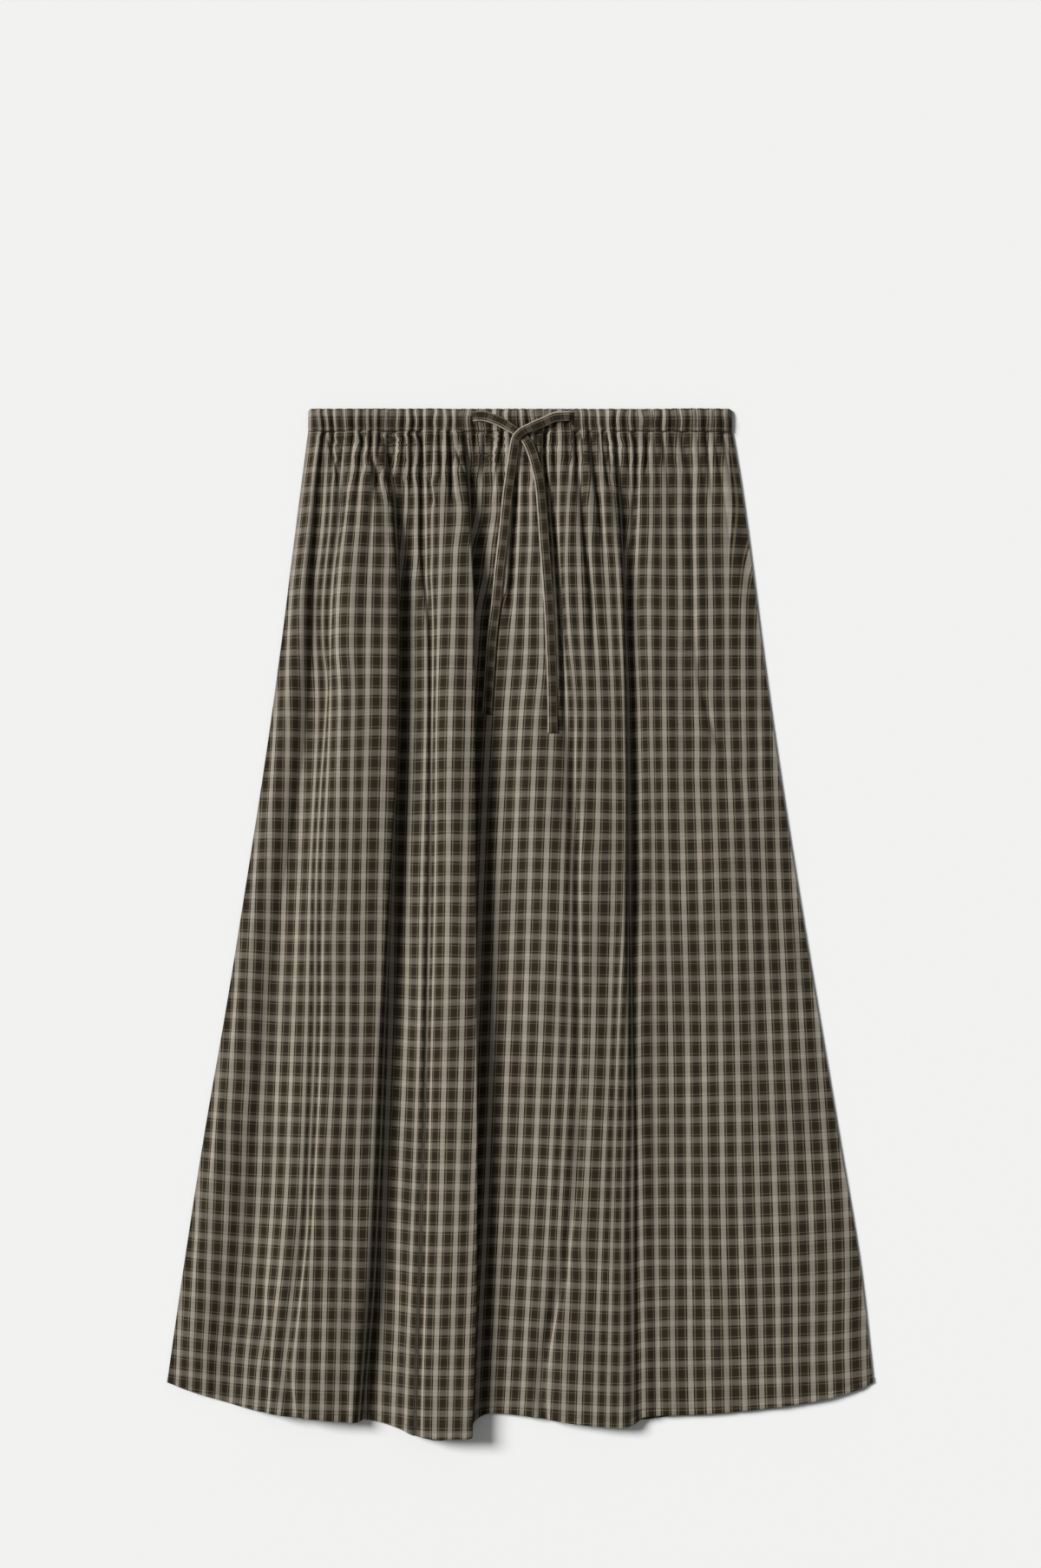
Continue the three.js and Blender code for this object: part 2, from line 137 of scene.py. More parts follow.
# %% Sections, folds and hems
NAMES = ("down", "left", "dip", "first", "second", "third", "right", "side", "one", "two", "three", "flat")
SECTIONS = [dict(zip(NAMES, row)) for row in (
    (0, -172.5, -158, -113, -46, 76, 172.5, 2, 2.5, 3, 2.5, 1.0),
    (45, -178.5, -164, -102, -40, 81.5, 180, 4, 6.5, 8, 6, 2.5),
    (102, -186, -167, -98, -39.5, 85, 188, 5, 11, 13, 9, 3),
    (172, -195, -169, -98, -39.5, 86.5, 197, 5, 13, 15, 10, 3.5),
    (257, -207, -176, -99.5, -39, 87.5, 209, 4, 14, 16, 11, 3.5),
    (356, -222.5, -192, -104, -38.5, 89, 224.5, 3, 14, 16, 11, 3),
    (462, -239.5, -205, -108, -38, 92, 242, 3, 14, 16, 10, 3),
    (568, -257.5, -217, -111, -37, 95, 259.5, 3, 14, 15, 10, 3),
    (674, -273.5, -229, -117, -37.5, 95, 276.5, 2.5, 14, 15, 10, 3),
    (775, -287.5, -240, -128, -41, 96, 287.5, 2, 13, 15, 9, 2.5),
)]
FOLDS = [
    dict(start="left", end="dip", height="side", rise=6, drop=28, looser=0, lean=0.1, columns=40),
    dict(start="dip", end="first", height="one", rise=32, drop=8, looser=9, lean=0.45, columns=120),
    dict(start="first", end="second", height="two", rise=46, drop=5, looser=0, lean=0.5, columns=110),
    dict(start="second", end="third", height="three", rise=66, drop=7, looser=14, lean=0.4, columns=160),
    dict(start="third", end="right", height="flat", rise=16, drop=60, looser=0, lean=0.1, columns=130),
]
FRONT_HEM = [dict(across=x, below=y) for x, y in (
    (-287.5, 792.5), (-257, 803), (-217, 814), (-165, 821), (-135, 823.5), (-127, 822.5),
    (-115, 824), (-98, 829), (-84, 835), (-58, 836), (-44, 834), (-36, 823),
    (-27, 818), (-14, 817.5), (10, 820), (50, 826), (80, 828), (94, 824.5),
    (101, 820), (150, 818), (208, 812.5), (248, 806), (278, 797.5), (287.5, 792.5),
)]
BACK_HEM = [dict(across=x, below=y) for x, y in (
    (-287.5, 792), (-217, 811.5), (-135, 820), (-112, 822.5), (-88, 833.5), (-72, 840),
    (-58, 839), (-44, 830), (-28, 815.5), (10, 817), (80, 824.5), (150, 816),
    (248, 803.5), (287.5, 792),
)]
print(f"{len(SECTIONS)} sections, {len(FOLDS)} folds, hem {2 * SECTIONS[-1]['right']:.0f} mm wide")


# %% Smooth curves through a table
def along(table, key, column, place):
    """Values of a column of a table at many places, on a smooth curve through its rows."""
    keys = np.array([row[key] for row in table], float)
    values = np.array([row[column] for row in table], float)
    place = np.clip(np.asarray(place, float), keys[0], keys[-1])
    row = np.clip(np.searchsorted(keys, place, side="right") - 1, 0, len(keys) - 2)
    before = np.maximum(row - 1, 0)
    after = np.minimum(row + 2, len(keys) - 1)
    span = keys[row + 1] - keys[row]
    t = (place - keys[row]) / span
    slope_a = (values[row + 1] - values[before]) / (keys[row + 1] - keys[before]) * span
    slope_b = (values[after] - values[row]) / (keys[after] - keys[row]) * span
    return ((2 * t**3 - 3 * t**2 + 1) * values[row] + (t**3 - 2 * t**2 + t) * slope_a
            + (3 * t**2 - 2 * t**3) * values[row + 1] + (t**3 - t**2) * slope_b)


def section(column, down):
    return along(SECTIONS, "down", column, down)


def ease(value, low, high):
    """0 below low, 1 above high, and a smooth step between."""
    t = np.clip((np.asarray(value, float) - low) / (high - low), 0, 1)
    return t * t * (3 - 2 * t)


# %% [markdown]
# Real cloth never lies in clean curves, so the folds get a little unevenness: a smooth random field,
# stretched along the skirt, from a fixed seed so that every run gives the same skirt.

# %% Uneven cloth
FIELD = 64
FIELD_START = (31.7, 17.3)


def soft_noise(x, y, wide, long, seed):
    """Smooth random height between -1 and 1, with features of about wide by long millimetres."""
    grid = np.random.default_rng(seed).uniform(-1, 1, (FIELD, FIELD))
    gx = np.asarray(x, float) / wide + FIELD_START[0]
    gy = np.asarray(y, float) / long + FIELD_START[1]
    ix, iy = np.floor(gx).astype(int), np.floor(gy).astype(int)
    fx, fy = gx - ix, gy - iy
    fx, fy = fx * fx * (3 - 2 * fx), fy * fy * (3 - 2 * fy)

    def pick(i, j):
        return grid[j % FIELD, i % FIELD]

    low = pick(ix, iy) * (1 - fx) + pick(ix + 1, iy) * fx
    high = pick(ix, iy + 1) * (1 - fx) + pick(ix + 1, iy + 1) * fx
    return low * (1 - fy) + high * fy


print("sample of the field:", np.round(soft_noise(np.arange(4) * 9.0, 0, wide=14, long=150, seed=3), 2))

# %% [markdown]
# Creases are listed one by one. Each one is a soft trough along a line of a few places (across, down). Its
# left and right walls have their own widths, because a crease is nearly always a small fold that leans
# over: one wall is steep and dark, the other runs out gently. Most start at the casing, where a few
# gathers join, and fan out down the skirt.

# %% Creases
CREASES = [
    dict(line=[(-160, 0), (-155.2, 10), (-149.5, 28), (-148, 44)], depth=2.4, left=1.6, right=2.6),
    dict(line=[(-154.5, 1), (-151, 8), (-144.5, 14)], depth=1.8, left=1.5, right=2.2),
    dict(line=[(-143.9, 12), (-142.5, 31), (-143.2, 60), (-148.1, 90), (-151.7, 115), (-155.2, 178),
               (-160, 260)], depth=3.0, left=5, right=1.6),
    dict(line=[(-131, 0), (-128, 12), (-127, 34)], depth=2.2, left=1.6, right=2.4),
    dict(line=[(-122, 2), (-121, 18), (-117, 40), (-115, 62)], depth=2.4, left=2.0, right=2.2),
    dict(line=[(-102.9, 0), (-106.4, 14), (-104, 30)], depth=2.2, left=1.6, right=2.0),
    dict(line=[(-89.6, 0), (-88.7, 46), (-90.1, 87), (-91.6, 116)], depth=2.2, left=1.6, right=2.2),
    dict(line=[(-83.8, 0), (-80.2, 13), (-79.7, 36), (-79.7, 67), (-79.5, 95), (-76, 123), (-73.2, 158),
               (-72.5, 285), (-75.3, 426), (-78.8, 603), (-85.2, 780)], depth=3.6, left=2.2, right=3.4),
    dict(line=[(-77.4, 26), (-74.6, 39), (-72.1, 48), (-70.5, 60)], depth=2.6, left=2.2, right=1.4),
    dict(line=[(-66, 0), (-65, 20), (-64, 40)], depth=1.8, left=1.8, right=1.8),
    dict(line=[(-58.3, 0), (-57.6, 13), (-56.9, 31), (-56, 60)], depth=2.6, left=1.8, right=2.2),
    dict(line=[(-53.4, 14), (-48.4, 27), (-44.2, 38)], depth=2.0, left=1.6, right=2.0),
    dict(line=[(-24, 0), (-27.2, 13), (-31, 31), (-34.6, 48), (-36, 60)], depth=3.0, left=2.2, right=1.8),
    dict(line=[(-14, 0), (-17, 22), (-22, 50)], depth=2.0, left=2.0, right=1.6),
    dict(line=[(-1, 14), (-1.8, 27), (-3.9, 60), (-5.3, 83), (-6.7, 115), (-9, 150)],
         depth=5.0, left=2.6, right=2.6),
    dict(line=[(20.1, 0), (19.4, 13), (19.6, 27), (22.8, 48), (25.6, 72), (28, 95), (29.6, 115),
               (31.5, 140), (33, 190), (36, 240)], depth=5.6, left=2.0, right=3.4),
    dict(line=[(28.6, 0), (30, 14)], depth=1.8, left=1.6, right=1.6),
    dict(line=[(44.9, 0), (46.1, 19), (48.4, 37), (49.6, 53), (50.5, 72), (52, 95), (54, 115),
               (55.5, 135), (57.6, 180)], depth=3.4, left=2.2, right=2.8),
    dict(line=[(56.2, 0), (57.6, 17), (60.2, 37), (63.7, 58), (64.7, 72), (67.2, 100)],
         depth=2.4, left=1.8, right=2.2),
    dict(line=[(67.2, 0), (67.5, 13), (69.6, 32), (71.8, 48)], depth=2.4, left=1.6, right=2.0),
    dict(line=[(91.6, 0), (93.7, 10), (94.7, 22), (94.7, 48), (93, 66), (91, 92)],
         depth=3.4, left=2.2, right=1.8),
    dict(line=[(104, 0), (103, 18), (101, 40)], depth=1.6, left=1.6, right=2.0),
    dict(line=[(117, 0), (118, 30)], depth=1.2, left=1.6, right=2.2),
    dict(line=[(132.9, 4), (136.1, 24), (139.6, 42), (140.3, 66), (140.6, 100), (141.5, 150), (144, 180),
               (150.2, 214), (163, 250), (177, 274), (184, 310)], depth=1.7, left=3.2, right=2.6),
    dict(line=[(152, 0), (154, 30), (157, 60)], depth=1.1, left=2.0, right=2.6),
    dict(line=[(164, 0), (171.5, 19), (177.5, 28)], depth=1.5, left=1.6, right=2.4),
    dict(line=[(39.2, 215), (45.6, 370), (45.6, 568), (33.6, 667), (18, 740), (22, 790)],
         depth=3.2, left=6, right=2.4),
    dict(line=[(-158.7, 340), (-165.8, 497), (-169.3, 582), (-176, 638), (-187, 709), (-191, 741),
               (-181, 785)], depth=3.4, left=7, right=3.6),
    dict(line=[(108, 250), (110, 500), (112, 790)], depth=1.0, left=4, right=5),
    dict(line=[(92, 380), (96, 560), (97, 680), (98, 790)], depth=-4.5, left=13, right=15),
    dict(line=[(-212, 660), (-206, 720), (-204.7, 751), (-210, 800)], depth=1.8, left=5, right=3),
    dict(line=[(-150, 560), (-150, 660), (-146, 790)], depth=1.2, left=5, right=3),
    dict(line=[(176, 640), (172, 720), (176, 800)], depth=0.8, left=5, right=5),
]


def crease_height(x, down):
    """How far the creases lower the cloth at each place; one with a negative depth is a soft ridge."""
    total = np.zeros_like(x)
    for crease in CREASES:
        line = [dict(across=a, down=d) for a, d in crease["line"]]
        start, end = line[0]["down"], line[-1]["down"]
        centre = along(line, "down", "across", down)
        reach = 0.3 * (end - start)
        near = 1.0 if start < 6 else ease(down, start - 8, start + min(reach, 60))
        far = 1.0 if end > 770 else 1 - ease(down, end - reach, end + 0.3 * reach)
        wide = np.where(x < centre, crease["left"], crease["right"]) * (0.8 + 0.2 * ease(down, 0, 60))
        total -= crease["depth"] * near * far * np.exp(-((x - centre) / wide) ** 2)
    return total


print(f"{len(CREASES)} creases")

# %% [markdown]
# Where the panel leaves the casing it is pleated by the elastic into about 48 small gathers. They are
# rounded on top and pinched between, as gathered cloth is, and they join into wider ones lower down. The
# casing has the same gathers, so both use one seed. Just under the casing the seam holds them down.

# %% Gathers
GATHER_SEED = 11
ROUNDNESS = 0.65


def gather(across, count, seed):
    """Rounded ridges with pinched valleys, count of them across, from 0 to 1, each a little different."""
    place = across * count + 0.35 * soft_noise(across * count, 0, wide=1.7, long=1, seed=seed)
    size = 0.75 + 0.35 * soft_noise(np.floor(place), 0, wide=1.3, long=1, seed=seed + 1)
    return size * np.abs(np.sin(np.pi * place)) ** ROUNDNESS


def gather_height(across, down):
    """Fine gathers at the casing, then half as many, then a quarter."""
    fine = 3.2 * (1 - ease(down, 8, 60)) * gather(across, GATHERS, GATHER_SEED)
    middle = 2.2 * ease(down, 4, 26) * (1 - ease(down, 40, 130)) * gather(across, GATHERS / 2, seed=23)
    broad = 1.4 * ease(down, 20, 70) * (1 - ease(down, 90, 260)) * gather(across, GATHERS / 4, seed=37)
    fuller = 1 - 0.55 * ease(across, 0.74, 0.84) - 0.25 * (1 - ease(across, 0.02, 0.14))
    pinched = 0.35 + 0.65 * ease(down, 0.9, 3.2)
    return (fine + middle + broad) * fuller * pinched


print(f"gathers up to {gather_height(np.linspace(0, 1, 500), 6.0).max():.1f} mm high")

# %% [markdown]
# The long folds. Between two valleys the cloth rises over one width, stays full, and drops over another,
# mostly much narrower one. It is pushed to the right as it rises, so the big folds hang over on their
# right side, where the deep shadows are. The folds rise slowly, so that the cloth just right of each deep
# valley stays low and in soft shade.

# %% Long folds
WIDER_RISE = 0.9
MOST_RISE = 0.82
MOST_DROP = 0.5
CLIMB = 1.8
LEAN_START = 0.3


def fold_height(x, down):
    """Height of the long folds at each place, and how far the cloth there is pushed to the right."""
    height = np.zeros_like(x)
    push = np.zeros_like(x)
    for fold in FOLDS:
        start, end = section(fold["start"], down), section(fold["end"], down)
        inside = (x >= start) & (x <= end)
        span = end - start
        up = np.minimum(fold["rise"] * (1 + WIDER_RISE * ease(down, 200, 700)), MOST_RISE * span)
        drop = np.minimum(fold["drop"] + fold["looser"] * ease(down, 250, 650), MOST_DROP * span)
        climb = np.sin(0.5 * np.pi * np.clip((x - start) / up, 0, 1)) ** CLIMB
        fall = np.sin(0.5 * np.pi * np.clip((end - x) / drop, 0, 1))
        dome = 0.88 + 0.12 * np.sin(np.pi * np.clip((x - start) / span, 0, 1))
        rise = section(fold["height"], down) * climb * fall * dome
        height = np.where(inside, rise, height)
        leaning = ease(x, start + LEAN_START * span, end - drop)
        push = np.where(inside, fold["lean"] * rise * leaning, push)
    return height, push


def place_down(hem, x, down):
    """Height on the page of a row that is so far down the side seam."""
    bottom = TOP - along(hem, "across", "below", x)
    return PANEL_TOP + (bottom - PANEL_TOP) * down / SIDE_LENGTH


# %% Surface of the front
def front_surface(x, down):
    """Places of the front's cloth, for places across and down before the folds push them aside."""
    left, right = section("left", down), section("right", down)
    across = (x - left) / (right - left)
    inside = ease(np.minimum(x - left, right - x), 0, 12)
    height, push = fold_height(x, down)
    lift = (BAND_UNDER - 1.3) * (1 - ease(down, 0, 90))
    ripple = 0.5 * soft_noise(x, down, wide=13, long=150, seed=3)
    ripple += 0.3 * soft_noise(x, down, wide=6, long=90, seed=5)
    calm = ease(down, 20, 120)
    rise = height + lift + crease_height(x, down) + ripple * calm + 0.6 * calm
    rise = np.where(rise > 1, rise, np.exp(np.minimum(rise, 1) - 1)) + gather_height(across, down)
    lean = 0.25 + 0.75 * ease(down, 20, 140)
    y = place_down(FRONT_HEM, x, down)
    return np.stack([x + push * inside * lean, y, FRONT_BASE + rise * inside], axis=-1)


second_fold = front_surface(np.array([-60.0]), np.array([400.0]))
print(f"front is {second_fold[0, 2]:.1f} mm high on its second fold")

# %% [markdown]
# The drawstring comes before the cloth's finish, because its route has to agree with the solids. It is
# one flat tape, cut along the warp: its left end comes out of the left slit and runs to the right tail,
# its right end comes out of the right slit, crosses over and runs to the left tail. The points are the
# centre line of each end, chosen where the photo shows them, and they lie on the cloth.

# %% Drawstring routes
TAPE_WIDTH = 8
TAPE_THICK = 1.0
LEFT_ROUTE = [
    (-34.5, 413.5, 7.5), (-29, 413.2, 7.6), (-22, 411.2, 7.7), (-14, 407.6, 7.9), (-7.5, 403.6, 8.2),
    (-1.5, 399.6, 8.6), (3.5, 395.2, 8.8), (8, 388, 9.4), (12.5, 374, 10.1), (16, 357, 10.8),
    (18, 335, 11.8), (19.5, 313, 12.6), (21, 291, 13.2), (23.5, 256, 13.6), (25, 224, 13.8),
    (26, 191, 14), (26.5, 156, 14.3),
]
RIGHT_ROUTE = [
    (39.5, 413.5, 7.7), (34, 413.3, 7.8), (28, 412.6, 7.9), (20, 409, 8.5), (10, 404.6, 10.1),
    (2, 400.8, 10.9), (-3.5, 395, 10), (-5, 386, 9.5), (-7, 372, 9.3), (-10, 352, 9.1),
    (-13, 322, 9.3), (-16.5, 292, 9), (-19.5, 262, 8.5), (-23, 232, 7.9), (-25, 202, 7.4),
    (-27, 171, 7),
]
KNOT = np.array([0.0, 400.0])


def smooth_line(route, count):
    """Even points along a smooth curve through a route's points."""
    points = np.array(route, float)
    steps = np.linalg.norm(np.diff(points, axis=0), axis=1)
    reach = np.concatenate([[0], np.cumsum(steps)])
    table = [dict(at=r, x=p[0], y=p[1], z=p[2]) for r, p in zip(reach, points)]
    at = np.linspace(0, reach[-1], 4 * count)
    line = np.stack([along(table, "at", axis, at) for axis in "xyz"], axis=-1)
    run = np.concatenate([[0], np.cumsum(np.linalg.norm(np.diff(line, axis=0), axis=1))])
    even = np.linspace(0, run[-1], count)
    return np.stack([np.interp(even, run, line[:, k]) for k in range(3)], axis=-1), run[-1]


left_line, left_length = smooth_line(LEFT_ROUTE, 240)
right_line, right_length = smooth_line(RIGHT_ROUTE, 240)
print(f"left end {left_length:.0f} mm, right end {right_length:.0f} mm")

# %% [markdown]
# Cloth meshes. A sheet is a grid of places, and each vertex also gets its place in the flat cloth: how
# far across the warp and how far along it, in millimetres, kept in a UV map called cloth.

# %% A grid of cloth
def cloth_mesh(name, places, warp, weft, closed=False):
    """One mesh from a grid of places; a closed grid is a tube."""
    rows, columns = places.shape[:2]
    index = np.arange(rows * columns).reshape(rows, columns)
    if closed:
        index = np.concatenate([index, index[:, :1]], axis=1)
    quads = np.stack([index[1:, :-1], index[1:, 1:], index[:-1, 1:], index[:-1, :-1]], axis=-1)
    quads = quads.reshape(-1, 4)
    mesh = bpy.data.meshes.new(name)
    mesh.from_pydata((places.reshape(-1, 3) * MM).tolist(), [], quads.tolist())
    uv = mesh.uv_layers.new(name="cloth")
    flat = np.stack([warp.ravel(), weft.ravel()], axis=-1)
    if closed:
        corner_rows = (quads // columns).ravel()
        wraps = np.stack([index[:-1, 1:] % columns == 0] * 4, axis=-1).reshape(-1, 4)
        wraps[:, (0, 3)] = False
        next_stripe = warp[corner_rows, -1] + (warp[corner_rows, 1] - warp[corner_rows, 0])
        turn = np.where(wraps.ravel(), next_stripe, flat[quads.ravel(), 0])
        corners = np.stack([turn, flat[quads.ravel(), 1]], axis=-1)
    else:
        corners = flat[quads.ravel()]
    uv.data.foreach_set("uv", corners.ravel())
    mesh.polygons.foreach_set("use_smooth", [True] * len(mesh.polygons))
    mesh.update()
    piece = bpy.data.objects.new(name, mesh)
    scene.collection.objects.link(piece)
    print(f"{name}: {2 * len(quads)} triangles")
    return piece


def run_across(places, stretch=1.0):
    """Length of the cloth from the first column, with height counted more, for what small ripples hide."""
    step = np.diff(places, axis=1) * np.array([1, 0, stretch])
    run = np.cumsum(np.linalg.norm(step, axis=-1), axis=1)
    return np.concatenate([np.zeros((places.shape[0], 1)), run], axis=1)


# %% [markdown]
# Finishes are built from node groups, each made once. The first one lays out the check. It folds the
# distance across a repeat onto 0 (middle of the light stripe) to 1 (middle of the dark stripe), and a
# colour ramp turns that into light, black line, pale line, dark. The same is done for the weft, and the
# two yarns share the surface about half and half, as in a plain weave.

# %% Helpers for node groups
MIX_A, MIX_B, MIX_RESULT = 6, 7, 2


def new_group(name, inputs, outputs):
    """An empty node group with named sockets, and its input and output nodes."""
    group = bpy.data.node_groups.new(name, "ShaderNodeTree")
    for title, kind, value in inputs:
        socket = group.interface.new_socket(title, in_out="INPUT", socket_type=kind)
        if value is not None:
            socket.default_value = value
    for title, kind in outputs:
        group.interface.new_socket(title, in_out="OUTPUT", socket_type=kind)
    return group, group.nodes.new("NodeGroupInput"), group.nodes.new("NodeGroupOutput")


def put(tree, socket, value):
    """Link a socket to another, or give it a plain value."""
    if isinstance(value, bpy.types.NodeSocket):
        tree.links.new(value, socket)
    else:
        socket.default_value = value


def calc(tree, operation, *values):
    node = tree.nodes.new("ShaderNodeMath")
    node.operation = operation
    for socket, value in zip(node.inputs, values):
        put(tree, socket, value)
    return node.outputs[0]


def blend(tree, factor, a, b, mode="MIX"):
    node = tree.nodes.new("ShaderNodeMix")
    node.data_type = "RGBA"
    node.blend_type = mode
    put(tree, node.inputs["Factor"], factor)
    put(tree, node.inputs[MIX_A], a)
    put(tree, node.inputs[MIX_B], b)
    return node.outputs[MIX_RESULT]


def ramp(tree, place, stops):
    """A colour ramp with stops given as (position, colour)."""
    node = tree.nodes.new("ShaderNodeValToRGB")
    elements = node.color_ramp.elements
    elements[0].position, elements[0].color = stops[0][0], (*stops[0][1], 1)
    elements[1].position, elements[1].color = stops[-1][0], (*stops[-1][1], 1)
    for position, colour in stops[1:-1]:
        elements.new(position).color = (*colour, 1)
    put(tree, node.inputs["Fac"], place)
    return node.outputs["Color"]


def bands(stripes, soft=0.012):
    """Stops of a ramp from stripes given as (colour, where the stripe ends)."""
    stops = []
    start = 0.0
    for colour, end in stripes:
        stops.append((start + (soft if stops else 0), colour))
        stops.append((end - soft if end < 1 else 1.0, colour))
        start = end
    return stops


def folded(tree, distance, repeat):
    """0 at every whole repeat, 1 half way between."""
    turns = calc(tree, "DIVIDE", distance, repeat)
    return calc(tree, "MULTIPLY", calc(tree, "PINGPONG", turns, 0.5), 2.0)


# %% Check, as a node group
WARP_LIGHT = (0.42, 0.376, 0.308)
WARP_DARK = (0.0225, 0.0168, 0.0088)
WARP_LINE = (0.012, 0.009, 0.006)
WARP_PALE = (0.185, 0.148, 0.082)
WEFT_LIGHT = (0.160, 0.139, 0.114)
WEFT_DARK = (0.0140, 0.0105, 0.0055)
WEFT_LINE = (0.008, 0.006, 0.004)
WEFT_PALE = (0.118, 0.101, 0.068)
WARP_REPEAT = 14.7
WEFT_REPEAT = 16.5

check, given, result = new_group(
    "Woven check",
    [("Cloth", "NodeSocketVector", None), ("Warp repeat", "NodeSocketFloat", WARP_REPEAT),
     ("Weft repeat", "NodeSocketFloat", WEFT_REPEAT), ("Yarn", "NodeSocketFloat", 0.55),
     ("Weft share", "NodeSocketFloat", 0.5)],
    [("Color", "NodeSocketColor"), ("Height", "NodeSocketFloat")],
)
parts = check.nodes.new("ShaderNodeSeparateXYZ")
check.links.new(given.outputs["Cloth"], parts.inputs[0])
warp_place = folded(check, parts.outputs["X"], given.outputs["Warp repeat"])
weft_place = folded(check, parts.outputs["Y"], given.outputs["Weft repeat"])
warp_yarn = ramp(check, warp_place, bands([
    (WARP_LIGHT, 0.30), (WARP_LINE, 0.46), (WARP_PALE, 0.61), (WARP_DARK, 1.0)]))
weft_yarn = ramp(check, weft_place, bands([
    (WEFT_LIGHT, 0.25), (WEFT_PALE, 0.33), (WEFT_LINE, 0.43), (WEFT_DARK, 0.50),
    (WEFT_PALE, 0.59), (WEFT_DARK, 1.0)]))

yarns = []
for axis in "XY":
    yarn_count = calc(check, "DIVIDE", parts.outputs[axis], given.outputs["Yarn"])
    yarns.append(calc(check, "SINE", calc(check, "MULTIPLY", yarn_count, math.pi)))
over_under = calc(check, "MULTIPLY", *yarns)
OVER_UNDER_CONTRAST = 0.22
share = calc(check, "MULTIPLY_ADD", over_under, OVER_UNDER_CONTRAST, given.outputs["Weft share"])
check.links.new(blend(check, share, warp_yarn, weft_yarn), result.inputs["Color"])
check.links.new(calc(check, "ABSOLUTE", over_under), result.inputs["Height"])
print("check:", len(check.nodes), "nodes")

# %% [markdown]
# Yarns are never quite even: some are thicker, some took more dye. A second group makes streaks that
# run far along one yarn and only a little across it, for both directions, and a soft cloudiness.

# %% Slubs, as a node group
slubs, given, result = new_group(
    "Slubby yarn",
    [("Cloth", "NodeSocketVector", None), ("Color", "NodeSocketColor", (0.5, 0.5, 0.5, 1)),
     ("Streaks", "NodeSocketFloat", 0.16), ("Clouds", "NodeSocketFloat", 0.10)],
    [("Color", "NodeSocketColor"), ("Height", "NodeSocketFloat")],
)


def stretched_noise(tree, vector, scale, detail):
    stretch = tree.nodes.new("ShaderNodeVectorMath")
    stretch.operation = "MULTIPLY"
    tree.links.new(vector, stretch.inputs[0])
    stretch.inputs[1].default_value = scale
    node = tree.nodes.new("ShaderNodeTexNoise")
    node.inputs["Scale"].default_value = 1.0
    node.inputs["Detail"].default_value = detail
    tree.links.new(stretch.outputs[0], node.inputs["Vector"])
    return calc(tree, "SUBTRACT", node.outputs["Fac"], 0.5)


warp_streaks = stretched_noise(slubs, given.outputs["Cloth"], (1.1, 0.018, 0), 2)
weft_streaks = stretched_noise(slubs, given.outputs["Cloth"], (0.02, 0.9, 0), 2)
clouds = stretched_noise(slubs, given.outputs["Cloth"], (0.03, 0.012, 0), 3)
streaks = calc(slubs, "ADD", warp_streaks, weft_streaks)
NOISE_GAIN = 4.0
streaky = calc(slubs, "MULTIPLY", streaks, given.outputs["Streaks"])
cloudy = calc(slubs, "MULTIPLY", clouds, given.outputs["Clouds"])
tone = calc(slubs, "MULTIPLY_ADD", streaky, NOISE_GAIN, 1.0)
tone = calc(slubs, "ADD", tone, calc(slubs, "MULTIPLY", cloudy, NOISE_GAIN))
shade = slubs.nodes.new("ShaderNodeCombineColor")
for channel in range(3):
    slubs.links.new(tone, shade.inputs[channel])
toned = blend(slubs, 1.0, given.outputs["Color"], shade.outputs[0], "MULTIPLY")
slubs.links.new(toned, result.inputs["Color"])
slubs.links.new(calc(slubs, "ADD", streaks, 0.5), result.inputs["Height"])
print("slubby yarn:", len(slubs.nodes), "nodes")

# %% [markdown]
# The cloth's material places both groups. Streaks and weave raise a very fine bump. A piece can be a
# little darker or show less weft, as the narrow tape does.

# %% Cloth material
def cloth_material(name, streaks=0.16, clouds=0.10, weave_depth=0.05, darken=1.0, weft_share=0.5):
    """The woven check in the shared yarns, for one kind of piece."""
    material = bpy.data.materials.new(name)
    material.use_nodes = True
    tree = material.node_tree
    shader = tree.nodes["Principled BSDF"]
    place = tree.nodes.new("ShaderNodeUVMap")
    place.uv_map = "cloth"
    pattern = tree.nodes.new("ShaderNodeGroup")
    pattern.node_tree = check
    pattern.inputs["Weft share"].default_value = weft_share
    tree.links.new(place.outputs[0], pattern.inputs["Cloth"])
    uneven = tree.nodes.new("ShaderNodeGroup")
    uneven.node_tree = slubs
    uneven.inputs["Streaks"].default_value = streaks
    uneven.inputs["Clouds"].default_value = clouds
    tree.links.new(place.outputs[0], uneven.inputs["Cloth"])
    tree.links.new(pattern.outputs["Color"], uneven.inputs["Color"])
    toned = blend(tree, 1.0, uneven.outputs["Color"], (darken, darken, darken, 1), "MULTIPLY")
    tree.links.new(toned, shader.inputs["Base Color"])
    relief = calc(tree, "MULTIPLY_ADD", uneven.outputs["Height"], 0.7, pattern.outputs["Height"])
    bump = tree.nodes.new("ShaderNodeBump")
    bump.inputs["Strength"].default_value = 0.55
    bump.inputs["Distance"].default_value = weave_depth * MM
    tree.links.new(relief, bump.inputs["Height"])
    tree.links.new(bump.outputs["Normal"], shader.inputs["Normal"])
    rough = calc(tree, "MULTIPLY_ADD", uneven.outputs["Height"], 0.12, 0.82)
    tree.links.new(rough, shader.inputs["Roughness"])
    shader.inputs["Specular IOR Level"].default_value = 0.16
    shader.inputs["Sheen Weight"].default_value = 0.012
    shader.inputs["Sheen Roughness"].default_value = 0.5
    return material


front_cloth = cloth_material("Front check")
back_cloth = cloth_material("Back check", darken=0.94)
casing_cloth = cloth_material("Casing check")
tape_cloth = cloth_material("Tape check", weave_depth=0.04, darken=0.95, weft_share=0.3)
print("finishes:", [finish.name for finish in (front_cloth, back_cloth, casing_cloth, tape_cloth)])

